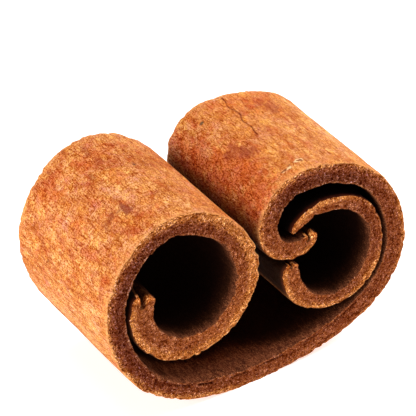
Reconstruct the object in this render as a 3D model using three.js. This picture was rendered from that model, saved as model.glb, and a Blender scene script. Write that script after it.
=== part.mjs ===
// A short length of cassia cinnamon, sawn square across the grain.
//
// One wide strip of bark has dried and curled in from both long edges, so that it stands as two rolls side by
// side on one shared base. A second, thinner strip is curled up loose inside the right-hand roll.
//
// Frame: millimetres, +Z up, +Y along the grain from the front cut to the back cut, +X across the two rolls.
// Origin: on the ground, under the middle of the bark.

import * as THREE from "three";

// ---- Driving dimensions

const LENGTH = 16.8; // from cut to cut, along the grain
const STATION_STEP = 0.95; // spacing of the stations round the curls
const EDGE_STATIONS = [0, 0.12, 0.35, 0.8]; // stations that round off a long edge, by their distance from it
const EDGE_LIP = 0.3; // thickness left at the very edge, as a share of the bark's thickness there
const ROW_DEPTHS = [0, 0.3, 0.9, 1.9, 3.4, 5.4, 8.4, 11.4, 13.4, 14.9, 15.9, 16.5, LENGTH]; // from the front cut

const MIDDLE_X = 0.44; // middle of the bark, in the frame that the strips' starts are given in
const FOOT_HEIGHT = 0.12; // the base is worn flat up to this height over its lowest line

// The right-hand roll opens to the right and sinks a little from the front cut to the back cut.
const ROLL_OPENS = 0.95;
const OPENS_FROM_X = 1;
const OPENS_FULLY_X = 13;
const ROLL_SINKS = 0.6;
const SINKS_FROM_X = -3;
const SINKS_FULLY_X = 6;
const SINKS_FROM_Z = 3;
const SINKS_FULLY_Z = 10;

// Relief on the faces of the bark: long swells, and ridges that follow the grain.
const SWELL_HEIGHT = 0.05;
const SWELL_SPACING = 11.4;
const SWAY = 0.8; // how far the swells shift sideways, in radians of their own wave
const SWAY_SPACING = 19;
const RIDGE_HEIGHT = 0.03;
const RIDGE_SPACING = 2.9;
const RIDGE_GROUPS = 7; // the ridges come and go over this distance
const RIDGE_DRIFT = 52; // length of grain in which a ridge drifts by its own spacing

// Crumbs broken out of the sawn rims, and the torn long edges.
const NICK_DEPTH = 0.11;
const NICK_REACH = 1.2; // how far the nicks run along the grain
const BREAK_DEPTH = 1; // how much of a torn edge is missing at the front cut
const BREAK_REACH = 2.4; // how far that break runs along the grain
const WANDER_DEPTH = 0.25; // how far a torn edge wanders from a straight line
const WANDER_SPACING = 7;
const WANDER_GIVES = 5; // width of bark whose stations close up to follow the edge

// Each strip is a line of tangent bends, [radius in mm, turn in degrees], from one long edge to the other. side
// is 1 where they bend to the left of the line's own heading, and -1 where they bend to the right. thickness is
// [share of the width, mm].
const WIDE_STRIP = {
  name: "double_roll",
  start: { x: -13.56, z: 17.19, heading: -116 },
  side: 1,
  bends: [
    [6.25, 216], // inner turn of the left-hand roll
    [10.0, 61],
    [5.8, 60], // its top
    [8.9, 47], // its outer wall
    [13.8, 80],
    [29.0, 38], // the base
    [7.9, 62],
    [11.8, 91], // outer wall of the right-hand roll
    [4.6, 81], // its top
    [3.7, 104],
    [1.2, 112], // the hook at the second long edge
  ],
  thickness: [
    [0, 2.85],
    [0.2, 2.8],
    [0.3, 2.4],
    [0.48, 2.15],
    [0.6, 2.4],
    [0.69, 2.75],
    [0.8, 2.15],
    [0.9, 2.75],
    [0.96, 2.2],
    [1, 2.2],
  ],
  startBreak: 0.5,
  endBreak: 0.3,
  phase: 0.3,
};

const NESTED_STRIP = {
  name: "nested_curl",
  start: { x: 3.38, z: 16.83, heading: 55.5 },
  side: -1,
  bends: [
    [5.0, 60], // from the feathered edge over the top
    [7.5, 19.5],
    [6.9, 88], // against the outer wall
    [4.65, 68], // the bottom
    [6.0, 99], // up to the blunt edge
  ],
  thickness: [
    [0, 0.9],
    [0.07, 1.7],
    [0.4, 1.7],
    [0.55, 2.05],
    [0.75, 1.8],
    [0.9, 2.2],
    [1, 2.1],
  ],
  startBreak: 0.3,
  endBreak: 0,
  phase: 1.9,
};

const OUTER_BARK = { color: 0xb9662f, roughness: 0.75, metalness: 0 };
const INNER_BARK = { color: 0xa4562a, roughness: 0.8, metalness: 0 };

// ---- The section: a strip's middle line, its thickness and its long edges

const radians = THREE.MathUtils.degToRad;
const smoothstep = THREE.MathUtils.smoothstep;
const bendLength = ([radius, turn]) => radius * radians(turn);
const widthOf = (strip) => strip.bends.reduce((sum, bend) => sum + bendLength(bend), 0);

// The point and the heading on the middle line, at a distance from the first long edge.
function middleLineAt(strip, distance) {
  let { x, z } = strip.start;
  let heading = radians(strip.start.heading);
  let left = distance;
  for (const bend of strip.bends) {
    const radius = bend[0];
    const travelled = Math.min(left, bendLength(bend));
    const next = heading + (strip.side * travelled) / radius;
    x += strip.side * radius * (Math.sin(next) - Math.sin(heading));
    z -= strip.side * radius * (Math.cos(next) - Math.cos(heading));
    heading = next;
    left -= travelled;
    if (left <= 0) break;
  }
  return { x, z, heading };
}

function thicknessAt(strip, share) {
  const i = Math.max(1, strip.thickness.findIndex(([at]) => at >= share));
  const [from, thin] = strip.thickness[i - 1];
  const [to, thick] = strip.thickness[i];
  return thin + ((thick - thin) * (share - from)) / (to - from);
}

// The stations' distances from the first long edge.
function stationsOf(strip) {
  const width = widthOf(strip);
  const rounded = EDGE_STATIONS.at(-1);
  const between = width - 2 * rounded;
  const steps = Math.round(between / STATION_STEP);
  const middle = Array.from({ length: steps - 1 }, (_, i) => rounded + ((i + 1) * between) / steps);
  const farEdge = EDGE_STATIONS.map((fromEdge) => width - fromEdge).reverse();
  return [...EDGE_STATIONS, ...middle, ...farEdge];
}

// A long edge is rounded over to a blunt lip. This is the share of the thickness that is left near it.
function roundingAt(fromEdge) {
  const share = Math.min(1, fromEdge / EDGE_STATIONS.at(-1));
  return EDGE_LIP + (1 - EDGE_LIP) * Math.sqrt(1 - (1 - share) ** 2);
}

// ---- Relief

const wave = (distance, spacing, phase = 0) => Math.sin((2 * Math.PI * distance) / spacing + phase);

// A repeatable number from 0 to 1 for a pair of whole numbers.
function scatter(i, j) {
  const spread = Math.sin(i * 127.1 + j * 311.7) * 43758.5453;
  return spread - Math.floor(spread);
}

// How far a face stands proud. face is 0 on the outer bark and 1 on the inner bark.
function reliefAt(strip, distance, depth, face) {
  const phase = strip.phase + 2 * face;
  const swell = wave(distance, SWELL_SPACING, phase + SWAY * wave(depth, SWAY_SPACING, phase));
  const drift = (2 * Math.PI * depth) / RIDGE_DRIFT;
  const ridge = wave(distance, RIDGE_SPACING, 3 * phase + drift) * wave(distance, RIDGE_GROUPS);
  return SWELL_HEIGHT * swell + RIDGE_HEIGHT * ridge;
}

// How much of a face has crumbled away at a station near a sawn cut.
function nickAt(station, depth, face) {
  const fromCut = Math.min(depth, LENGTH - depth);
  const fade = Math.max(0, 1 - fromCut / NICK_REACH);
  const cut = depth < LENGTH / 2 ? 0 : 1;
  return NICK_DEPTH * fade * scatter(station, 2 * cut + face) ** 2;
}

// How far a torn long edge stands back at a depth along the grain.
function edgeSetback(strip, depth, missing) {
  const towardsCut = Math.max(0, 1 - depth / BREAK_REACH);
  const wander = WANDER_DEPTH * (0.5 + 0.5 * wave(depth, WANDER_SPACING, strip.phase));
  return BREAK_DEPTH * missing * towardsCut + wander * (1 - towardsCut);
}

// ---- The solid

// From the section's frame to the object's, with the right-hand roll opened and the foot flat.
function place(x, z, depth) {
  const share = depth / LENGTH;
  const opens = ROLL_OPENS * share * smoothstep(x, OPENS_FROM_X, OPENS_FULLY_X);
  const overRight = smoothstep(x, SINKS_FROM_X, SINKS_FULLY_X);
  const sinks = ROLL_SINKS * share * overRight * smoothstep(z, SINKS_FROM_Z, SINKS_FULLY_Z);
  return [x + opens - MIDDLE_X, depth - LENGTH / 2, Math.max(z - sinks - FOOT_HEIGHT, 0)];
}

// The points of one row: the outer bark and the inner bark at each station in turn.
function rowOf(strip, stations, depth) {
  const width = widthOf(strip);
  const startSetback = edgeSetback(strip, depth, strip.startBreak);
  const endSetback = edgeSetback(strip, depth, strip.endBreak);
  const follows = (fromEdge) => Math.max(0, 1 - fromEdge / WANDER_GIVES);
  return stations.flatMap((station, i) => {
    const distance = station + startSetback * follows(station) - endSetback * follows(width - station);
    const { x, z, heading } = middleLineAt(strip, distance);
    const rounding = roundingAt(Math.min(station, width - station));
    const half = thicknessAt(strip, station / width) / 2;
    return [0, 1].map((face) => {
      const proud = reliefAt(strip, distance, depth, face) - nickAt(i, depth, face);
      const towards = (face === 0 ? -1 : 1) * strip.side * (half + proud) * rounding;
      return place(x - Math.sin(heading) * towards, z + Math.cos(heading) * towards, depth);
    });
  });
}

// Rows of points, skinned over both faces of the bark, both long edges and both sawn cuts.
function barkGeometry(strip) {
  const stations = stationsOf(strip);
  const points = ROW_DEPTHS.flatMap((depth) => rowOf(strip, stations, depth));
  const lastRow = ROW_DEPTHS.length - 1;
  const last = stations.length - 1;
  const at = (row, station, face) => (row * stations.length + station) * 2 + face;
  const triangles = [];
  const quad = (a, b, c, d) => triangles.push(a, b, c, a, c, d);
  for (let row = 0; row < lastRow; row++) {
    for (let i = 0; i < last; i++) {
      quad(at(row, i, 0), at(row, i + 1, 0), at(row + 1, i + 1, 0), at(row + 1, i, 0));
      quad(at(row, i + 1, 1), at(row, i, 1), at(row + 1, i, 1), at(row + 1, i + 1, 1));
    }
    quad(at(row, 0, 1), at(row, 0, 0), at(row + 1, 0, 0), at(row + 1, 0, 1));
    quad(at(row, last, 0), at(row, last, 1), at(row + 1, last, 1), at(row + 1, last, 0));
  }
  for (let i = 0; i < last; i++) {
    quad(at(0, i, 1), at(0, i + 1, 1), at(0, i + 1, 0), at(0, i, 0));
    quad(at(lastRow, i, 0), at(lastRow, i + 1, 0), at(lastRow, i + 1, 1), at(lastRow, i, 1));
  }
  // These face outwards on a strip that bends to the right. One that bends to the left is turned over.
  if (strip.side > 0) triangles.reverse();
  const geometry = new THREE.BufferGeometry();
  geometry.setAttribute("position", new THREE.Float32BufferAttribute(points.flat(), 3));
  geometry.setIndex(triangles);
  geometry.computeVertexNormals();
  return geometry;
}

function barkMesh(strip, finish) {
  const mesh = new THREE.Mesh(barkGeometry(strip), new THREE.MeshStandardMaterial(finish));
  mesh.name = strip.name;
  return mesh;
}

const cinnamon = new THREE.Group();
cinnamon.add(barkMesh(WIDE_STRIP, OUTER_BARK));
cinnamon.add(barkMesh(NESTED_STRIP, INNER_BARK));

export default cinnamon;
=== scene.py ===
"""The looks of a short, double-rolled length of cinnamon bark.

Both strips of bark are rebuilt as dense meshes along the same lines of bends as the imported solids, which they
replace. Every point of a mesh knows its place on its strip, in millimetres: across the bark from the first
long edge, along the grain from the front cut, and through the bark from its outer face. The relief, the marks
and the materials all work from those three numbers.
"""

import math

import bpy
import numpy as np
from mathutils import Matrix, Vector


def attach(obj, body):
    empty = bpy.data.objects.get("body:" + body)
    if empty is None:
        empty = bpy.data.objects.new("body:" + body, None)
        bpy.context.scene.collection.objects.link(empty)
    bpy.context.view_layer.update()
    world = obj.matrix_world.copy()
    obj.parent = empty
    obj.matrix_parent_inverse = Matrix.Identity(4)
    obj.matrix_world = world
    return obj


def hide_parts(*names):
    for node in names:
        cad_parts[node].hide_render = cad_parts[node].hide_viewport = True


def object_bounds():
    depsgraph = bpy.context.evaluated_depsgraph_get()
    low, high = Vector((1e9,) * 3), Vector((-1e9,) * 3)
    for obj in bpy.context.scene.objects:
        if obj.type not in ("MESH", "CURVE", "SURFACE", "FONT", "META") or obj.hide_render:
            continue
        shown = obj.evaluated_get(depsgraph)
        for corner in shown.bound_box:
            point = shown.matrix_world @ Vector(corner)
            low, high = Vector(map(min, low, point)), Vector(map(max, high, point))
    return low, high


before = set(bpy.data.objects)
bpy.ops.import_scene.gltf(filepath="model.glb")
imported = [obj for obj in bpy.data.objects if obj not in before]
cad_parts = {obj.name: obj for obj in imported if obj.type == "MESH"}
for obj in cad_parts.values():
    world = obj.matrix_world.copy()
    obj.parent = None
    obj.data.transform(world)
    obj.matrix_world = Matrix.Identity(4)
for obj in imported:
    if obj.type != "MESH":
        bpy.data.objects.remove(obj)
CAD_BOX = [list(corner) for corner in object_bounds()]

# ---- The bark, in millimetres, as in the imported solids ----

MM = 0.001
LENGTH = 16.8
MIDDLE_X = 0.44
FOOT_HEIGHT = 0.12

ROLL_OPENS, OPENS_BETWEEN_X = 0.95, (1, 13)
ROLL_SINKS, SINKS_BETWEEN_X, SINKS_BETWEEN_Z = 0.6, (-3, 6), (3, 10)

SWELL_HEIGHT, SWELL_SPACING = 0.05, 11.4
SWAY, SWAY_SPACING = 0.8, 19
RIDGE_HEIGHT, RIDGE_SPACING, RIDGE_GROUPS, RIDGE_DRIFT = 0.03, 2.9, 7, 52

EDGE_ROUNDED, EDGE_LIP = 0.8, 0.3
BREAK_DEPTH, BREAK_REACH = 1.0, 2.4
WANDER_DEPTH, WANDER_SPACING, WANDER_GIVES = 0.25, 7, 5

# bends are (radius, turn in degrees) from the first long edge; side is 1 where they bend to the left of the
# line's own heading. start_break and end_break are the shares of BREAK_DEPTH that are missing from the torn
# first and last edge at the front cut, and clefts are how deep, in mm, the two edges are split there. phase
# shifts the waves of the strip's relief.
#
# Thickness, in mm, and the habits of the bark change along its width, as (share of the width, value):
#   golden     the sawn bark is golden instead of brown
#   skin       the share of the thickness that is a paler skin where the bark is sawn
#   dusky      the inner half of the sawn bark is darker and more uneven
#   free_of_painted_shade  the outer face keeps the orange of bark; where this is 0 it is painted nearly black,
#   as shade inside the roll
#   barred, streaked, speckled   the outer face is marked across the grain, along it, or finely all over
#   shown      the painted shade on the inner face, which darkens the hollows, begins further in from a cut
HABITS = ("golden", "skin", "dusky", "free_of_painted_shade", "barred", "streaked", "speckled", "shown")

WIDE_STRIP = {
    "name": "double_roll",
    "start": (-13.56, 17.19, -116),
    "side": 1,
    "bends": [
        (6.25, 216), (10.0, 61), (5.8, 60), (8.9, 47), (13.8, 80), (29.0, 38),
        (7.9, 62), (11.8, 91), (4.6, 81), (3.7, 104), (1.2, 112),
    ],
    "thickness": [
        (0, 2.85), (0.2, 2.8), (0.3, 2.4), (0.48, 2.15), (0.6, 2.4),
        (0.69, 2.75), (0.8, 2.15), (0.9, 2.75), (0.96, 2.2), (1, 2.2),
    ],
    "start_break": 0.5,
    "end_break": 0.3,
    "clefts": (1.1, 0.6),
    "phase": 0.3,
    "golden": [
        (0, 0.8), (0.02, 0.5), (0.06, 0.4), (0.1, 0.6), (0.14, 0.7), (0.18, 0.4), (0.22, 0.2), (0.28, 0.1),
        (0.33, 0), (0.45, 0), (0.5, 0.2), (0.6, 0.35), (0.65, 0.2), (0.75, 0.2), (0.8, 0.1), (0.9, 0),
        (0.93, 0.3), (1, 0.5),
    ],
    "skin": [
        (0, 0.15), (0.05, 0.28), (0.1, 0.32), (0.16, 0.4), (0.2, 0.5), (0.25, 0.42), (0.3, 0.32),
        (0.34, 0.16), (0.4, 0.1), (0.45, 0.25), (0.54, 0.22), (0.57, 0.02), (0.7, 0.05), (0.76, 0.15),
        (0.85, 0.08), (0.9, 0.2), (0.95, 0.15), (1, 0.2),
    ],
    "dusky": [
        (0, 0.1), (0.04, 0.2), (0.1, 0), (0.17, 0.05), (0.22, 0.15), (0.26, 0.3), (0.31, 0.7), (0.37, 0.75),
        (0.43, 0.6), (0.5, 0.35), (0.55, 0.1), (0.78, 0.1), (0.83, 0.7), (0.9, 0.8), (0.94, 0.1), (1, 0),
    ],
    "free_of_painted_shade": [(0, 0), (0.07, 0.1), (0.12, 1), (0.92, 1), (0.945, 0.1), (1, 0)],
    "barred": [(0, 0), (0.24, 0.2), (0.29, 1), (0.345, 1), (0.37, 0.1), (0.9, 0), (0.94, 0.3), (1, 0.3)],
    "streaked": [(0, 0), (0.28, 0.3), (0.34, 0.2), (0.37, 1), (0.5, 1), (0.78, 0.4), (0.84, 0.15), (1, 0)],
    "speckled": [(0, 1.2), (0.45, 1.2), (0.8, 0.8), (0.89, 0.7), (0.905, 1.3), (0.925, 2.4), (1, 2.4)],
    "shown": [(0, 0), (0.33, 0), (0.42, 1), (0.56, 1), (0.6, 0.2), (0.66, 0), (1, 0)],
    "slot": "outer_bark",
    "seed": 1,
}
NESTED_STRIP = {
    "name": "nested_curl",
    "start": (3.38, 16.83, 55.5),
    "side": -1,
    "bends": [(5.0, 60), (7.5, 19.5), (6.9, 88), (4.65, 68), (6.0, 99)],
    "thickness": [(0, 0.9), (0.07, 1.7), (0.4, 1.7), (0.55, 2.05), (0.75, 1.8), (0.9, 2.2), (1, 2.1)],
    "start_break": 0.3,
    "end_break": 0,
    "clefts": (0, 0.3),
    "phase": 1.9,
    "golden": [(0, 1), (0.2, 0.4), (0.3, 0.2), (0.5, 0.2), (0.56, 0.6), (0.65, 0.3), (0.8, 0.5), (1, 0.6)],
    "skin": [
        (0, 0.7), (0.12, 0.5), (0.25, 0.25), (0.4, 0), (0.5, 0.05), (0.56, 0.45), (0.64, 0.3), (1, 0.28),
    ],
    "dusky": [(0, 0), (0.15, 0.1), (0.3, 0.3), (0.45, 0.3), (0.52, 0.1), (0.65, 0.3), (0.8, 0), (1, 0)],
    "free_of_painted_shade": [(0, 0), (0.7, 0), (0.85, 0.7), (0.88, 0.3), (0.91, 0.03), (1, 0.03)],
    "barred": [(0, 0), (1, 0)],
    "streaked": [(0, 0.5), (1, 0.5)],
    "speckled": [(0, 1), (1, 1)],
    "shown": [(0, 0), (1, 0)],
    "slot": "inner_bark",
    "seed": 2,
}

# ---- The mesh: where its stations, rows and layers lie ----

# Stations lie across the bark. They are closer together where the longest two cracks run.
STATION_STEP = 0.17
FINE_STATION_STEP = 0.07
FINE_STATIONS = ((38.3, 39.1), (112.6, 114.1))
EDGE_STATIONS = (0, 0.05, 0.12, 0.22, 0.35, 0.5, 0.65)
ROW_STEP = 0.45
CUT_ROWS = (0, 0.03, 0.08, 0.15, 0.25, 0.4, 0.62, 0.9)
LAYERS = (0, 0.04, 0.1, 0.18, 0.27, 0.37, 0.47, 0.57, 0.66, 0.74, 0.8, 0.86, 0.93, 1)


def smoothstep(x, low, high):
    share = np.clip((x - low) / (high - low), 0, 1)
    return share * share * (3 - 2 * share)


def wave(distance, spacing, phase=0.0):
    return np.sin(2 * math.pi * distance / spacing + phase)


def fading(distance, reach):
    """1 at no distance, evenly down to 0 at the reach."""
    return np.clip(1 - distance / reach, 0, 1)


def lattice_value(column, row, seed):
    """A fixed number from -1 to 1 for each whole column and row."""
    mixed = (column * 374761393 + row * 668265263 + seed * 974634777) & 0xFFFFFFFF
    mixed = ((mixed ^ (mixed >> 13)) * 1274126177) & 0xFFFFFFFF
    return ((mixed ^ (mixed >> 16)) & 0xFFFF) / 0x7FFF - 1


def noise(u, v, grain, seed):
    """Smooth noise from -1 to 1, with lumps of the size grain along u and v."""
    u, v = np.broadcast_arrays(u / grain[0], v / grain[1])
    column, row = np.floor(u).astype(np.int64), np.floor(v).astype(np.int64)
    share_u, share_v = smoothstep(u - column, 0, 1), smoothstep(v - row, 0, 1)
    near, far = (
        lattice_value(column, side, seed) * (1 - share_u) + lattice_value(column + 1, side, seed) * share_u
        for side in (row, row + 1)
    )
    return near * (1 - share_v) + far * share_v


def strip_width(strip):
    return sum(radius * math.radians(turn) for radius, turn in strip["bends"])


def along_width(strip, across, key):
    return np.interp(across / strip_width(strip), *zip(*strip[key]))


def middle_line(strip, distance):
    """x, z and heading on the strip's middle line, at distances from its first long edge."""
    x0, z0, heading0 = strip["start"]
    heading0 = math.radians(heading0)
    side = strip["side"]
    x, z, heading = (np.zeros_like(distance) for _ in range(3))
    begins = 0.0
    for number, (radius, turn) in enumerate(strip["bends"]):
        ends = begins + radius * math.radians(turn)
        here = distance >= begins
        if number < len(strip["bends"]) - 1:
            here &= distance < ends
        heading[here] = heading0 + side * (distance[here] - begins) / radius
        x[here] = x0 + side * radius * (np.sin(heading[here]) - math.sin(heading0))
        z[here] = z0 - side * radius * (np.cos(heading[here]) - math.cos(heading0))
        heading1 = heading0 + side * math.radians(turn)
        x0 += side * radius * (math.sin(heading1) - math.sin(heading0))
        z0 -= side * radius * (math.cos(heading1) - math.cos(heading0))
        heading0, begins = heading1, ends
    return x, z, heading


def place(x, z, depth):
    """From the section's frame to the row's, with the right-hand roll opened and the foot flat."""
    share = depth / LENGTH
    opens = ROLL_OPENS * share * smoothstep(x, *OPENS_BETWEEN_X)
    sinks = ROLL_SINKS * share * smoothstep(x, *SINKS_BETWEEN_X) * smoothstep(z, *SINKS_BETWEEN_Z)
    height = np.maximum(z - sinks - FOOT_HEIGHT, 0)
    return np.stack([x + opens - MIDDLE_X, depth - LENGTH / 2, height], -1)


def packed_relief(strip, distance, depth, face):
    """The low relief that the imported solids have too."""
    phase = strip["phase"] + 2 * face
    swell = wave(distance, SWELL_SPACING, phase + SWAY * wave(depth, SWAY_SPACING, phase))
    drift = 2 * math.pi * depth / RIDGE_DRIFT
    ridge = wave(distance, RIDGE_SPACING, 3 * phase + drift) * wave(distance, RIDGE_GROUPS)
    return SWELL_HEIGHT * swell + RIDGE_HEIGHT * ridge


def edge_setback(strip, depth, missing):
    towards_cut = fading(depth, BREAK_REACH)
    wander = WANDER_DEPTH * (0.5 + 0.5 * wave(depth, WANDER_SPACING, strip["phase"]))
    return BREAK_DEPTH * missing * towards_cut + wander * (1 - towards_cut)


def with_both_ends(near_end, step, length):
    """Distances that lie close together at both ends, as in near_end, and step apart between them."""
    near = np.array(near_end, float)
    between = length - 2 * near[-1]
    steps = round(between / step)
    middle = near[-1] + between * np.arange(1, steps) / steps
    return np.concatenate([near, middle, (length - near)[::-1]])


def stations_of(strip):
    stations = with_both_ends(EDGE_STATIONS, STATION_STEP, strip_width(strip))
    if strip is not WIDE_STRIP:
        return stations
    for begins, ends in FINE_STATIONS:
        outside = (stations < begins - FINE_STATION_STEP) | (stations > ends)
        stations = np.concatenate([stations[outside], np.arange(begins, ends, FINE_STATION_STEP)])
    return np.sort(stations)


# ---- Marks on the outer bark of the wide strip ----

# Spots are (mm across, mm along, half width, half length, strength). Stains are brown.
STAINS = [
    (38.5, 4.7, 0.55, 1.0, 1.0),
    (39.7, 5.1, 0.7, 0.45, 0.7),
    (40.6, 4.6, 0.35, 0.8, 0.6),
    (40.1, 2.6, 0.8, 0.35, 0.5),
    (38.4, 10.9, 0.3, 0.9, 0.55),
    (37.1, 14.3, 0.4, 1.2, 0.6),
    (36.8, 12.2, 0.7, 0.6, 0.55),
    (38.5, 7.6, 0.3, 0.6, 0.6),
    (34.7, 10.2, 0.25, 0.3, 0.8),
    (41.8, 10.2, 0.6, 0.4, 0.35),
    (44.3, 10.2, 0.2, 1.1, 0.6),
    (46.9, 10.5, 0.5, 0.7, 0.4),
    (40.7, 15.7, 0.3, 0.3, 0.8),
    (43.4, 7.2, 0.3, 1.4, 0.3),
    (109.8, 13.1, 0.9, 1.5, 0.6),
    (109.4, 5.8, 0.4, 1.8, 0.35),
    (115.6, 6.6, 0.7, 1.3, 0.75),
    (116.2, 7.9, 0.9, 1.1, 0.65),
    (110.3, 2.6, 0.12, 0.4, 0.9),
    (118.2, 8.7, 0.5, 0.5, 0.5),
    (119.2, 3.4, 0.7, 0.7, 0.5),
]
# Scars are flaked bark, cream and brown, and those below 0 are grey knots.
SCARS = [
    (113.3, 1.8, 0.55, 0.35, 1.0),
    (114.5, 1.4, 0.55, 0.3, 0.9),
    (47.3, 10.7, 0.3, 0.3, 0.7),
    (116.0, 13.85, 0.2, 0.3, -1.0),
    (117.3, 5.8, 0.25, 0.35, -0.7),
    (116.9, 6.6, 0.15, 0.3, -0.5),
    (34.7, 10.2, 0.15, 0.25, -0.7),
]
# Hues are from -1 for yellow to 1 for ruddy.
HUES = [
    (116.8, 6.0, 2.0, 4.5, 1.0),
    (118.4, 11.5, 1.6, 4.5, 0.7),
    (118.0, 1.8, 2.0, 1.6, 0.8),
    (109.6, 13.2, 1.6, 2.4, 0.6),
    (42.3, 8.0, 1.0, 1.3, 0.6),
    (38.3, 2.2, 1.6, 0.9, 0.5),
    (36.8, 13.5, 1.8, 2.6, 0.5),
    (44.6, 1.5, 0.8, 0.6, 0.6),
    (46.3, 8.2, 0.7, 1.8, -0.8),
    (48.9, 2.2, 1.6, 1.8, -0.6),
    (43.6, 4.8, 0.7, 1.2, -0.2),
    (52.5, 8.0, 2.4, 8.0, -0.8),
    (47.5, 8.0, 2.0, 7.0, -0.25),
    (41.5, 15.0, 2.0, 2.0, 0.4),
    (39.5, 8.0, 2.0, 7.0, 0.3),
    # this ruddy, darker spot is painted shade on the underside of the left roll
    (59.5, 8.0, 2.2, 9.0, 1.0),
    (112.5, 14.8, 3.0, 2.0, 0.5),
    (112.0, 5.5, 2.5, 3.0, -0.3),
    (119.5, 8.5, 1.2, 9.0, 0.3),
    (34.3, 3.0, 1.6, 2.5, -0.5),
    (106.5, 8.5, 2.2, 7.5, -0.7),
    (110.3, 8.5, 1.6, 2.4, -0.3),
    (114.6, 11.8, 0.9, 2.2, -0.5),
]
# Cracks are (width, strength, points across and along).
CRACKS = [
    (0.05, 1.0, [
        (112.95, 16.3), (113.25, 15.0), (113.4, 14.2), (113.3, 13.2), (113.2, 12.4),
        (113.55, 11.3), (113.6, 10.1), (113.65, 9.0), (113.85, 8.2),
    ]),
    (0.06, 0.6, [(117.5, 16.0), (117.4, 13.4), (116.9, 11.3), (116.4, 9.9)]),
    (0.06, 0.5, [(116.9, 4.6), (117.3, 3.0), (117.2, 1.4)]),
    (0.06, 0.6, [(112.1, 2.2), (112.3, 1.5), (112.9, 1.25)]),
    (0.06, 0.4, [(38.75, 5.2), (38.6, 6.6), (38.7, 7.8), (38.9, 9.2), (38.6, 10.6), (38.5, 11.6)]),
    (0.08, 0.8, [(47.0, 9.95), (47.25, 10.4)]),
]


def spot(across, along, at_across, at_along, half_width, half_length):
    """1 at the middle of a spot and 0 round it, with an uneven edge."""
    uneven = 0.5 * noise(across, along, (0.5, 0.7), 71) + 0.5 * noise(across, along, (0.2, 0.3), 72)
    reach = np.hypot((across - at_across) / half_width, (along - at_along) / half_length)
    return smoothstep(1.4 - reach + uneven, 0, 1)


def spots(across, along, listed):
    return [strength * spot(across, along, *where) for *where, strength in listed]


def crack(across, along, width, points):
    """1 along a line of points, falling to 0 at three times a width that comes and goes."""
    across = across + 0.1 * noise(across, along, (50, 0.9), 73) + 0.05 * noise(across, along, (0.6, 0.45), 75)
    nearest = np.full(across.shape, np.inf)
    for (across0, along0), (across1, along1) in zip(points, points[1:]):
        run, rise = across1 - across0, along1 - along0
        share = np.clip(((across - across0) * run + (along - along0) * rise) / (run**2 + rise**2), 0, 1)
        gap = np.hypot(across - across0 - share * run, along - along0 - share * rise)
        nearest = np.minimum(nearest, gap)
    opened = width * (1 + 0.5 * noise(across, along, (50, 0.9), 74))
    return fading(nearest, 3 * opened)


def marks_on(strip, across, along):
    """How stained, cracked and scarred the outer bark is, and its hue."""
    if strip is not WIDE_STRIP:
        return dict.fromkeys(("stain", "cracked", "scar", "hue"), np.zeros(across.shape))
    cracks = [strength * crack(across, along, width, points) for width, strength, points in CRACKS]
    return {
        "stain": np.max(spots(across, along, STAINS), axis=0),
        "cracked": np.max(cracks, axis=0),
        "scar": sum(spots(across, along, SCARS)),
        "hue": sum(spots(across, along, HUES)),
    }


# ---- Relief that only this visual model has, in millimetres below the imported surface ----

OUTER_BEVEL = 0.07
INNER_BEVEL = 0.06
RIM_REACH = 0.8
CUT_REACH = 1.2

# A cut is smoother beside a torn long edge, where the two would otherwise cross each other.
CORNER_CALM, CALM_REACH = 0.8, 0.8

# A tear fades out behind its edge, slowly enough that the points behind the deepest cleft keep their order.
TEAR_REACH, TEAR_FALL = 9, 3

# The right-hand side of the left roll has the most ragged rim.
RAGGED_BETWEEN = (9, 15, 27, 34)

# A thin inner layer has split off along the base, and shows as a fine line round the inside of the cut.
SPLIT_BETWEEN = (60, 64, 84, 88)
SPLIT_SHARE = 0.8
SPLIT_WIDTH = 0.06
SPLIT_DEPTH = 0.4

# Where a torn edge is split it keeps more of its thickness: CLEFT_LIP is that share for each mm of the cleft.
CLEFT_SHARE, CLEFT_WIDTH, CLEFT_LENGTH, CLEFT_LIP = 0.48, 0.2, 2.6, 0.4


def plateau(x, stops):
    """From 0 up to 1 between the first two stops, and back to 0 between the last two."""
    return smoothstep(x, stops[0], stops[1]) * (1 - smoothstep(x, stops[2], stops[3]))


def outer_wear(across, along, marks, seed):
    lumps = 0.024 * noise(across, along, (1.4, 3.2), seed + 10)
    pebbles = 0.022 * noise(across, along, (0.5, 0.8), seed + 11)
    fibres = 0.014 * noise(across, along, (0.3, 3.5), seed + 12)
    marked = 0.02 * marks["stain"] + 0.06 * marks["cracked"] ** 3 + 0.03 * np.abs(marks["scar"])
    return 0.01 + lumps + pebbles + fibres + marked


def inner_wear(across, along, seed):
    fibres = 0.03 * noise(across, along, (0.35, 5.0), seed + 20)
    lumps = 0.03 * noise(across, along, (1.1, 2.2), seed + 21)
    return 0.03 + fibres + lumps


def rim_wear(strip, across, seed):
    """How much of a rim has broken away where a face meets a sawn cut."""
    ragged = 0.7 + (plateau(across, RAGGED_BETWEEN) if strip is WIDE_STRIP else 0)
    scallops = np.clip(0.2 + noise(across, 0 * across, (0.9, 1), seed + 30), 0, 1)
    chips = np.clip(noise(across, 0 * across, (0.33, 1), seed + 31) - 0.1, 0, 1)
    chips *= np.clip(0.5 + noise(across, 0 * across, (1.3, 1), seed + 32), 0, 1)
    return ragged * (0.1 * scallops + 0.22 * chips)


def cut_wear(across, through, seed):
    """How far a sawn cut lies behind its packed plane."""
    waves = 0.03 + 0.03 * noise(across, through, (1.8, 1.2), seed + 40)
    grains = 0.04 + 0.04 * noise(across, through, (0.42, 0.36), seed + 41)
    pits = 0.3 * np.clip(noise(across, through, (0.5, 0.4), seed + 42) - 0.35, 0, 1)
    return waves + grains + pits


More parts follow.
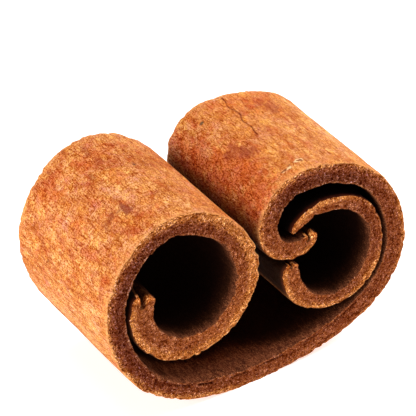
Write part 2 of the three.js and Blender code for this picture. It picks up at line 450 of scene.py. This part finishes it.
def split_on(strip, across, share):
    """1 on the line where an inner layer has split off, and 0 beside it."""
    if strip is not WIDE_STRIP:
        return 0 * share
    line = SPLIT_SHARE + 0.04 * noise(across, 0 * across, (4, 1), 81)
    broken = smoothstep(noise(across, 0 * across, (1.5, 1), 82), -0.7, 0)
    return plateau(across, SPLIT_BETWEEN) * broken * fading(np.abs(share - line), SPLIT_WIDTH)


def cleft_on(share):
    """1 in the middle of the thickness, where a torn edge is split, and near 0 at both faces."""
    return np.exp(-(((share - CLEFT_SHARE) / CLEFT_WIDTH) ** 4))


def edge_tear(along, through, share, cleft, seed):
    """How much deeper than its packed line a torn long edge is broken."""
    lumps = 0.1 + 0.1 * noise(along, through, (0.6, 0.5), seed)
    crumbs = 0.06 + 0.06 * noise(along, through, (0.28, 0.3), seed + 1)
    return lumps + crumbs + cleft * cleft_on(share) * fading(along, CLEFT_LENGTH) ** 0.5


def bevel(depth, size):
    """How far a rounded rim lies inside its face at a depth from the cut."""
    return size * (1 - np.sqrt(1 - fading(depth, size) ** 2))


# ---- A strip's points ----


def torn_distance(strip, grid):
    """Distances on the middle line, set back from the torn first and last long edge and near them."""
    across, along, through, share = (grid[name] for name in ("across", "along", "through", "share"))
    setbacks = []
    for edge, missing in enumerate((strip["start_break"], strip["end_break"])):
        from_edge = grid["from_edges"][edge]
        last = np.s_[:, -edge, :]
        seed = 100 * strip["seed"] + 50 + 10 * edge
        # the bark is thinner at its torn edge, and lumps there are measured over that thickness
        lip_through = EDGE_LIP * through[last]
        tear = edge_tear(along[last], lip_through, share[last], strip["clefts"][edge], seed)
        follows = fading(from_edge, WANDER_GIVES) * edge_setback(strip, along, missing)
        setbacks.append(follows + fading(from_edge, TEAR_REACH) ** TEAR_FALL * tear[:, None, :])
    return across + setbacks[0] - setbacks[1]


def faces_of(strip, distance, across, along, marks):
    """How far the outer and the inner face lie outside plain ones, at each station and row."""
    seed = 100 * strip["seed"]
    outer = packed_relief(strip, distance[:, :, 0], along, 0) - outer_wear(across, along, marks, seed)
    inner = packed_relief(strip, distance[:, :, -1], along, 1) - inner_wear(across, along, seed)
    for number, from_cut in enumerate((along, LENGTH - along)):
        near = fading(from_cut, RIM_REACH) ** 2
        outer -= bevel(from_cut, OUTER_BEVEL) + near * rim_wear(strip, across, seed + 2 * number)
        inner -= bevel(from_cut, INNER_BEVEL) + near * rim_wear(strip, across, seed + 2 * number + 5)
    return outer, inner


def edge_rounding(strip, grid):
    """The share of its thickness that the bark keeps near its torn long edges."""
    from_start, from_end = grid["from_edges"]
    cleft = np.where(from_start < from_end, *strip["clefts"])
    lip = EDGE_LIP + CLEFT_LIP * cleft * fading(grid["along"], CLEFT_LENGTH)
    return lip + (1 - lip) * np.sqrt(1 - fading(grid["from_edge"], EDGE_ROUNDED) ** 2)


def cut_depth(strip, grid):
    """Depths behind the front cut, with both sawn cuts roughened, but less so near a torn long edge."""
    along = grid["along"]
    across, through, share = (grid[name][0] for name in ("across", "through", "share"))
    calmed = 1 - CORNER_CALM * fading(grid["from_edge"][0], CALM_REACH)
    depth = along.copy()
    for number, (from_cut, inwards) in enumerate(((along, 1), (LENGTH - along, -1))):
        pushed = calmed * cut_wear(across, through, 100 * strip["seed"] + 5 * number)
        pushed = pushed + SPLIT_DEPTH * split_on(strip, across, share)
        depth += inwards * pushed * fading(from_cut, CUT_REACH)
    return depth


def values_to_read(strip, grid, marks):
    """The named values that the materials read at each point."""
    across, along, through, share = (grid[name] for name in ("across", "along", "through", "share"))
    torn_edge = fading(grid["from_edge"], EDGE_ROUNDED)
    opened = smoothstep(cleft_on(share) * torn_edge, 0.3, 0.8)
    read = {
        "place_mm": np.stack([across, along, through], -1),
        "share": share,
        "torn_edge": torn_edge,
        # split is the line of the split-off inner layer, and also painted shade in the cleft of a split torn
        # edge
        "split": np.maximum(split_on(strip, across, share), opened),
    }
    read |= {name: np.broadcast_to(mark[:, :, None], share.shape) for name, mark in marks.items()}
    return read | {name: along_width(strip, across, name) for name in HABITS}


def shape_strip(strip):
    """Positions in the row frame in mm, and the named values that the materials read, at each point."""
    rows = with_both_ends(CUT_ROWS, ROW_STEP, LENGTH)
    along, across, share = np.meshgrid(rows, stations_of(strip), LAYERS, indexing="ij")
    thickness = along_width(strip, across, "thickness")
    grid = {"along": along, "across": across, "share": share, "through": share * thickness}
    grid["from_edges"] = (across, strip_width(strip) - across)
    grid["from_edge"] = np.minimum(*grid["from_edges"])

    distance = torn_distance(strip, grid)
    x, z, heading = middle_line(strip, distance)
    face_across, face_along = across[:, :, 0], along[:, :, 0]
    marks = marks_on(strip, face_across, face_along)
    outer, inner = (
        face[:, :, None] + thickness / 2 for face in faces_of(strip, distance, face_across, face_along, marks)
    )
    offset = (share * (outer + inner) - outer) * edge_rounding(strip, grid) * strip["side"]
    x -= np.sin(heading) * offset
    z += np.cos(heading) * offset
    return place(x, z, cut_depth(strip, grid)), values_to_read(strip, grid, marks)


# ---- From arrays to a mesh ----

OUTER, INNER, SAWN = range(3)


def surface_quads(shape):
    """The quads on the six sides of a block of points, as point numbers, with the material of each."""
    numbers = np.arange(np.prod(shape)).reshape(shape)

    def quads(grid, turned):
        a, b, c, d = grid[:-1, :-1], grid[1:, :-1], grid[1:, 1:], grid[:-1, 1:]
        corners = (a, d, c, b) if turned else (a, b, c, d)
        return np.stack([corner.ravel() for corner in corners], -1)

    sides = [
        (numbers[:, :, 0], False, OUTER),
        (numbers[:, :, -1], True, INNER),
        (numbers[0], False, SAWN),
        (numbers[-1], True, SAWN),
        (numbers[:, 0, :], True, SAWN),
        (numbers[:, -1, :], False, SAWN),
    ]
    made = [quads(grid, turned) for grid, turned, _ in sides]
    materials = np.concatenate([np.full(len(q), kind) for q, (_, _, kind) in zip(made, sides)])
    return np.concatenate(made), materials


def build_mesh(name, points, quads, kinds):
    mesh = bpy.data.meshes.new(name)
    mesh.vertices.add(len(points))
    mesh.vertices.foreach_set("co", points.astype(np.float32).ravel())
    mesh.loops.add(quads.size)
    mesh.loops.foreach_set("vertex_index", quads.astype(np.int32).ravel())
    mesh.polygons.add(len(quads))
    mesh.polygons.foreach_set("loop_start", np.arange(0, quads.size, 4, dtype=np.int32))
    mesh.polygons.foreach_set("material_index", kinds.astype(np.int32))
    mesh.update(calc_edges=True)
    mesh.shade_smooth()
    return mesh


def add_values(mesh, read, used):
    """Give each point of the mesh its named values, as numbers or as vectors."""
    for name, values in read.items():
        kind, field, size = ("FLOAT_VECTOR", "vector", 3) if values.ndim == 4 else ("FLOAT", "value", 1)
        attribute = mesh.attributes.new(name, kind, "POINT")
        attribute.data.foreach_set(field, values.reshape(-1, size)[used].astype(np.float32).ravel())


def bark_piece(strip, materials):
    """A strip's visual mesh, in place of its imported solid."""
    positions, read = shape_strip(strip)
    quads, kinds = surface_quads(positions.shape[:3])
    used, quads = np.unique(quads, return_inverse=True)
    quads = quads.reshape(-1, 4)
    if strip["side"] > 0:
        quads = quads[:, ::-1]
    points = np.clip(positions.reshape(-1, 3)[used] * MM, *np.array(CAD_BOX))

    mesh = build_mesh(strip["name"] + "_bark", points, quads, kinds)
    add_values(mesh, read, used)
    for material in materials:
        mesh.materials.append(material)

    piece = bpy.data.objects.new(mesh.name, mesh)
    bpy.context.scene.collection.objects.link(piece)
    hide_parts(strip["name"])
    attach(piece, "root")


# ---- Materials ----


def colour(red, green, blue):
    """A colour as it looks on screen, from 0 to 255, made linear."""
    shares = (red / 255, green / 255, blue / 255)
    return (*(c / 12.92 if c <= 0.04045 else ((c + 0.055) / 1.055) ** 2.4 for c in shares), 1)


# Sockets of Blender's colour mix node, which have no names of their own.
MIX_SHARE, MIX_FIRST, MIX_SECOND, MIX_RESULT = 0, 6, 7, 2

# The brightest tones are held back by this much times their square.
BRIGHT_HELD_BACK = 0.45


class Shader:
    """A material and short ways to add nodes to it."""

    def __init__(self, name, roughness, specular):
        self.material = bpy.data.materials.new(name)
        self.material.use_nodes = True
        self.nodes = self.material.node_tree.nodes
        self.links = self.material.node_tree.links
        self.surface = next(node for node in self.nodes if node.type == "BSDF_PRINCIPLED")
        self.surface.inputs["Roughness"].default_value = roughness
        self.surface.inputs["Specular IOR Level"].default_value = specular

    def add(self, kind, inputs=None, **settings):
        node = self.nodes.new(kind)
        for name, value in settings.items():
            setattr(node, name, value)
        for name, value in (inputs or {}).items():
            self.feed(node.inputs[name], value)
        return node

    def feed(self, socket, value):
        if isinstance(value, bpy.types.NodeSocket):
            self.links.new(value, socket)
        else:
            socket.default_value = value

    def attribute(self, name, output="Fac"):
        return self.add("ShaderNodeAttribute", attribute_name=name).outputs[output]

    def split(self, vector):
        return self.add("ShaderNodeSeparateXYZ", {0: vector}).outputs

    def stretched(self, vector, grain):
        """vector divided by the size of the grain in mm across, along and through."""
        scale = [1 / size for size in grain]
        return self.add("ShaderNodeMapping", {"Vector": vector, "Scale": scale}).outputs[0]

    def noise(self, vector, grain, detail=3.0, rough=0.5, distortion=0.0):
        inputs = {"Vector": self.stretched(vector, grain), "Scale": 1.0, "Detail": detail}
        inputs |= {"Roughness": rough, "Distortion": distortion}
        return self.add("ShaderNodeTexNoise", inputs).outputs["Fac"]

    def cells(self, vector, grain):
        """The distance from the middle of a cell, and a number from 0 to 1 that each cell has to itself."""
        inputs = {"Vector": self.stretched(vector, grain), "Scale": 1.0}
        outputs = self.add("ShaderNodeTexVoronoi", inputs, feature="F1").outputs
        return outputs["Distance"], self.split(outputs["Color"])[0]

    def between(self, value, low, high, strength=1.0):
        """From 0 where value is low to strength where it is high."""
        inputs = {"Value": value, "From Min": low, "From Max": high, "To Max": strength}
        return self.add("ShaderNodeMapRange", inputs, interpolation_type="SMOOTHSTEP").outputs[0]

    def maths(self, operation, first, second=0.0):
        return self.add("ShaderNodeMath", {0: first, 1: second}, operation=operation).outputs[0]

    def total(self, parts):
        """The sum of a list of (value, strength), each value times its strength."""
        summed = 0.0
        for value, strength in parts:
            summed = self.maths("ADD", summed, self.maths("MULTIPLY", value, strength))
        return summed

    def swings(self, listed):
        """The sum of strength times how far value lies above middle, for each (value, middle, strength)."""
        return self.total(
            (self.maths("SUBTRACT", value, middle), strength) for value, middle, strength in listed
        )

    def mix(self, share, first, second):
        node = self.add("ShaderNodeMix", data_type="RGBA")
        self.feed(node.inputs[MIX_SHARE], share)
        self.feed(node.inputs[MIX_FIRST], first)
        self.feed(node.inputs[MIX_SECOND], second)
        return node.outputs[MIX_RESULT]

    def tinted(self, base, tints):
        """base with a list of (value, low, high, strength, colour) laid over it."""
        for value, low, high, strength, tint in tints:
            base = self.mix(self.between(value, low, high, strength), base, colour(*tint))
        return base

    def toned(self, base, tone, reach):
        """base made lighter or darker by e to the power of tone, times reach for red, green and blue."""
        shares = [self.maths("EXPONENT", self.maths("MULTIPLY", tone, part)) for part in reach]
        factor = self.add("ShaderNodeCombineXYZ", dict(enumerate(shares))).outputs[0]
        return self.add("ShaderNodeVectorMath", {0: base, 1: factor}, operation="MULTIPLY").outputs[0]

    def bump(self, height, distance_mm, normal=None):
        inputs = {"Height": height, "Distance": distance_mm * MM, "Strength": 1.0}
        if normal is not None:
            inputs["Normal"] = normal
        return self.add("ShaderNodeBump", inputs).outputs[0]

    def from_cut(self, along):
        """How far a point is from the nearer sawn cut, in mm."""
        return self.maths("MINIMUM", along, self.maths("SUBTRACT", LENGTH, along))

    def finish(self, base_colour, normal):
        self.feed(self.surface.inputs["Base Color"], base_colour)
        self.feed(self.surface.inputs["Normal"], normal)
        return self.material


def outer_bark_tone(s, place_mm, mottle, wrinkled, slits, grain):
    """Light and shade of the outer bark: clouds all over, and each of its habits where the strip has it."""
    clouds = s.noise(place_mm, (3.0, 4.6, 9), 2, 0.5, 0.5)
    bars = s.noise(place_mm, (0.7, 0.17, 9), 3, 0.6, 0.6)
    streaks = s.noise(place_mm, (0.3, 2.4, 9), 3, 0.6, 0.7)

    plain = s.swings([(clouds, 0.5, 1.5), (mottle, 0.5, 1.5), (s.between(slits, 0.37, 0.47), 0.88, 1.1)])
    speckled = s.swings([
        (s.between(grain, 0.36, 0.52), 0.87, 0.9),
        (s.between(wrinkled, 0.0, 0.04), 0.86, 0.8),
        (mottle, 0.5, 0.8),
    ])
    tone = s.total([
        (plain, 1.0),
        (speckled, s.attribute("speckled")),
        (s.swings([(streaks, 0.5, 2.4), (grain, 0.5, 0.9)]), s.attribute("streaked")),
        (s.swings([(bars, 0.5, 2.4)]), s.attribute("barred")),
    ])
    bright = s.maths("MAXIMUM", tone, 0.0)
    return s.total([(tone, 1.0), (s.maths("MULTIPLY", bright, bright), -BRIGHT_HELD_BACK)])


def marked(s, place_mm, base, grain):
    """The outer bark's own stains, cracks, flaked scars and grey knots, over its base colour."""
    scar, cracked = s.attribute("scar"), s.attribute("cracked")
    ragged = s.maths("ADD", cracked, s.swings([(grain, 0.5, 1.2)]))
    flecks = s.noise(place_mm, (0.5, 0.3, 9), 1, 0.5, 0.4)
    return s.tinted(base, [
        (s.attribute("stain"), 0.1, 1.0, 0.7, (120, 44, 34)),
        (cracked, 0.0, 0.7, 0.4, (150, 60, 26)),
        (ragged, 0.5, 0.85, s.between(cracked, 0.2, 0.5, 0.9), (100, 28, 10)),
        (scar, -0.3, -0.8, 0.9, (92, 70, 50)),
        (scar, 0.1, 0.5, s.between(flecks, 0.51, 0.46, 0.75), (112, 62, 38)),
        (scar, 0.3, 0.7, s.between(flecks, 0.49, 0.53, 0.9), (230, 192, 142)),
    ])


def outer_bark_material():
    s = Shader("outer_bark", 0.8, 0.05)
    place_mm = s.attribute("place_mm", "Vector")
    _, along, _ = s.split(place_mm)
    hue = s.attribute("hue")

    yellows = s.noise(place_mm, (1.0, 1.9, 9), 5, 0.7, 0.6)
    pinks = s.noise(place_mm, (1.7, 2.1, 9), 4, 0.6, 0.6)
    casts = s.noise(place_mm, (0.9, 1.3, 9), 4, 0.7, 0.6)
    mottle = s.noise(place_mm, (0.5, 0.8, 9), 4, 0.62, 0.8)
    slits = s.noise(place_mm, (0.13, 0.9, 9), 3, 0.6, 1.0)
    wrinkles = s.noise(place_mm, (0.34, 0.6, 9), 2, 0.5, 1.2)
    wrinkled = s.maths("ABSOLUTE", s.maths("SUBTRACT", wrinkles, 0.5))
    grain = s.noise(place_mm, (0.11, 0.24, 9), 2, 0.6)
    specks = s.noise(place_mm, (0.15, 0.2, 9), 2, 0.7)

    base = s.tinted(colour(198, 121, 62), [
        (yellows, 0.5, 0.62, 0.7, (218, 148, 78)),
        (yellows, 0.48, 0.38, 0.7, (192, 94, 46)),
        (pinks, 0.54, 0.64, 0.4, (190, 108, 80)),
        (pinks, 0.46, 0.36, 0.4, (198, 106, 40)),
        (hue, 0.0, 1.0, 0.6, (190, 78, 28)),
        (hue, 0.0, -1.0, 0.6, (224, 158, 92)),
    ])
    tone = outer_bark_tone(s, place_mm, mottle, wrinkled, slits, grain)
    base = s.toned(base, tone, (0.5, 1.05, 1.9))
    base = s.toned(base, s.swings([(casts, 0.5, 0.9)]), (-0.6, -0.9, 1))
    base = s.toned(base, s.swings([(specks, 0.5, 1.2)]), (-0.1, -0.3, 1))
    base = marked(s, place_mm, base, grain)

    rim = s.maths("ADD", s.from_cut(along), s.maths("MULTIPLY", mottle, 3))
    base = s.mix(s.between(rim, 2.0, 1.4, 0.4), base, colour(240, 172, 104))
    # painted shade: where the roll hides the outer face it is painted nearly black, a little lighter within 0.6
    # mm of a cut
    painted_shade = s.mix(s.between(s.from_cut(along), 0.0, 0.6), colour(66, 24, 11), colour(16, 6, 3))
    base = s.mix(s.attribute("free_of_painted_shade"), painted_shade, base)

    normal = s.bump(grain, 0.04)
    normal = s.bump(wrinkled, 0.06, normal)
    normal = s.bump(mottle, 0.09, normal)
    normal = s.bump(slits, 0.05, normal)
    return s.finish(base, normal)


def sawn_material():
    s = Shader("sawn_bark", 0.95, 0)
    place_mm = s.attribute("place_mm", "Vector")
    _, along, _ = s.split(place_mm)
    share, torn_edge = s.attribute("share"), s.attribute("torn_edge")
    golden, dusky = s.attribute("golden"), s.attribute("dusky")
    rounded, crumb = s.cells(place_mm, (0.2, 0.2, 0.2))
    fine = s.noise(place_mm, (0.11, 0.11, 0.11), 2, 0.6)
    grains = s.noise(place_mm, (0.26, 0.26, 0.26), 3, 0.65)
    layers = s.noise(place_mm, (1.6, 1.6, 0.3), 3, 0.6, 0.4)
    patches = s.noise(place_mm, (2.0, 2.0, 0.9), 3, 0.55, 0.6)
    lumps = s.noise(place_mm, (0.8, 0.8, 0.6), 3, 0.6, 0.6)
    casts = s.noise(place_mm, (0.3, 0.3, 0.3), 3, 0.8, 0.3)

    layer = s.maths("ADD", share, s.swings([(grains, 0.5, 0.6), (lumps, 0.5, 0.8)]))
    under_skin = s.maths("SUBTRACT", layer, s.attribute("skin"))
    brown = s.tinted(colour(116, 51, 26), [
        (layer, 0.5, 0.25, 0.5, (132, 62, 30)),
        (under_skin, 0.12, -0.1, 1.0, (171, 94, 43)),
    ])
    gold = s.tinted(colour(164, 84, 39), [(under_skin, 0.12, -0.1, 1.0, (195, 112, 53))])
    base = s.tinted(s.mix(golden, brown, gold), [
        (torn_edge, 0.2, 0.9, 0.7, (218, 120, 52)),
        (layer, 0.35, 0.6, s.maths("MULTIPLY", dusky, 0.65), (70, 27, 14)),
        # dark on the split-off layer's line, and painted shade in the cleft of a torn edge
        (s.attribute("split"), 0.1, 0.8, 0.85, (50, 18, 12)),
        (share, 0.88, 0.99, 0.22, (190, 110, 60)),
    ])

    tone = s.swings([
        (patches, 0.5, 1.4),
        (layers, 0.5, 1.1),
        (lumps, 0.5, 1.3),
        (grains, 0.5, 1.8),
        (fine, 0.5, 4.8),
        (s.between(crumb, 0.05, 0.3), 0.82, 0.8),
        (s.between(crumb, 0.7, 0.95), 0.17, 0.45),
    ])
    tone = s.maths("MULTIPLY", tone, s.maths("ADD", s.maths("MULTIPLY", dusky, 0.4), 1.0))
    base = s.toned(base, tone, (0.95, 1.45, 1.95))
    base = s.toned(base, s.swings([(casts, 0.5, 2.4)]), (-0.4, -0.3, 1))
    # painted shade: a torn long edge is painted dark brown further than 0.25 mm behind either cut
    past_rim = s.between(s.from_cut(along), 0.25, 0.8)
    behind = s.maths("MULTIPLY", past_rim, s.between(torn_edge, 0.0, 0.3, 0.95))
    base = s.mix(behind, base, colour(44, 20, 11))

    normal = s.bump(fine, 0.06)
    normal = s.bump(s.maths("SUBTRACT", 1.0, rounded), 0.05, normal)
    normal = s.bump(grains, 0.16, normal)
    return s.finish(base, normal)


def inner_bark_material():
    s = Shader("inner_bark", 0.95, 0)
    place_mm = s.attribute("place_mm", "Vector")
    _, along, _ = s.split(place_mm)
    fibres = s.noise(place_mm, (0.24, 1.1, 9), 4, 0.65, 0.9)
    patches = s.noise(place_mm, (1.3, 1.8, 9), 4, 0.6, 0.5)
    grain = s.noise(place_mm, (0.12, 0.2, 9), 2, 0.6)
    # painted shade in the hollows: the inner bark darkens over the first 3 mm from either cut, unevenly by
    # patches and later where the strip is shown
    uneven = s.swings([(patches, 0.5, 3.0), (s.attribute("shown"), 0.0, -3.1)])
    deep = s.maths("ADD", s.from_cut(along), uneven)

    base = s.tinted(colour(122, 66, 42), [
        (patches, 0.47, 0.38, 0.6, (70, 36, 24)),
        (patches, 0.54, 0.63, 0.5, (160, 92, 60)),
        (fibres, 0.48, 0.38, 0.6, (62, 28, 18)),
        (fibres, 0.54, 0.64, 0.6, (176, 104, 66)),
        (grain, 0.47, 0.38, 0.6, (40, 18, 10)),
        (grain, 0.56, 0.66, 0.5, (204, 128, 80)),
        # painted shade, darker with distance from the nearer cut
        (deep, -0.3, 1.4, 0.85, (34, 16, 9)),
        (deep, 0.7, 3.0, 0.9, (30, 14, 9)),
    ])
    normal = s.bump(fibres, 0.12)
    normal = s.bump(patches, 0.15, normal)
    return s.finish(base, normal)


# ---- Floor, light and camera ----

FLOOR_SIZE = 3.0
FLOOR_SHADE = 0.75
FLOOR_GLOW = 0.6
WORLD_STRENGTH = 0.22
CAMERA_AT = (-0.11242, -0.16472, 0.15881)
CAMERA_AZIMUTH = -34
CAMERA_ELEVATION = 35.5
SENSOR_WIDTH = 36
LENS = 208.3

# Soft boxes are (name, azimuth, elevation, distance, size, watts). Azimuth turns from -Y towards +X.
SOFTBOXES = [
    ("left", -90, 22, 0.5, 0.35, 2.5),
    ("right", 90, 36, 0.5, 0.3, 2.6),
    ("top", 0, 88, 0.5, 0.4, 1.1),
]


def add_floor():
    half = FLOOR_SIZE / 2
    corners = [(-half, -half, 0), (half, -half, 0), (half, half, 0), (-half, half, 0)]
    mesh = bpy.data.meshes.new("floor")
    mesh.from_pydata(corners, [], [(0, 1, 2, 3)])
    floor = bpy.data.objects.new("floor", mesh)
    bpy.context.scene.collection.objects.link(floor)
    s = Shader("floor", 0.9, 0)
    mesh.materials.append(s.material)
    s.surface.inputs["Base Color"].default_value = (FLOOR_SHADE, FLOOR_SHADE, FLOOR_SHADE, 1)
    s.surface.inputs["Emission Color"].default_value = (1, 1, 1, 1)
    s.surface.inputs["Emission Strength"].default_value = FLOOR_GLOW


def add_softbox(name, azimuth, elevation, distance, size, watts):
    """A square light that faces the bark."""
    light = bpy.data.lights.new(name, "AREA")
    light.size = size
    light.energy = watts
    turn, rise = math.radians(azimuth), math.radians(elevation)
    lamp = bpy.data.objects.new(name, light)
    lamp.location = (
        distance * math.sin(turn) * math.cos(rise),
        -distance * math.cos(turn) * math.cos(rise),
        distance * math.sin(rise),
    )
    lamp.rotation_euler = (math.pi / 2 - rise, 0, turn)
    bpy.context.scene.collection.objects.link(lamp)


def add_world(strength):
    world = bpy.data.worlds.new("studio")
    world.use_nodes = True
    background = world.node_tree.nodes["Background"]
    background.inputs["Color"].default_value = (1, 1, 1, 1)
    background.inputs["Strength"].default_value = strength
    bpy.context.scene.world = world


def add_camera():
    data = bpy.data.cameras.new("camera")
    data.sensor_width = SENSOR_WIDTH
    data.lens = LENS
    data.clip_start = 0.01
    camera = bpy.data.objects.new("camera", data)
    camera.location = CAMERA_AT
    camera.rotation_euler = (math.radians(90 - CAMERA_ELEVATION), 0, math.radians(CAMERA_AZIMUTH))
    bpy.context.scene.collection.objects.link(camera)
    bpy.context.scene.camera = camera


BARK = [outer_bark_material(), inner_bark_material(), sawn_material()]
bark_piece(WIDE_STRIP, BARK)
bark_piece(NESTED_STRIP, BARK)
add_floor()
add_world(WORLD_STRENGTH)
for softbox in SOFTBOXES:
    add_softbox(*softbox)
add_camera()
bpy.context.scene.view_settings.view_transform = "Standard"
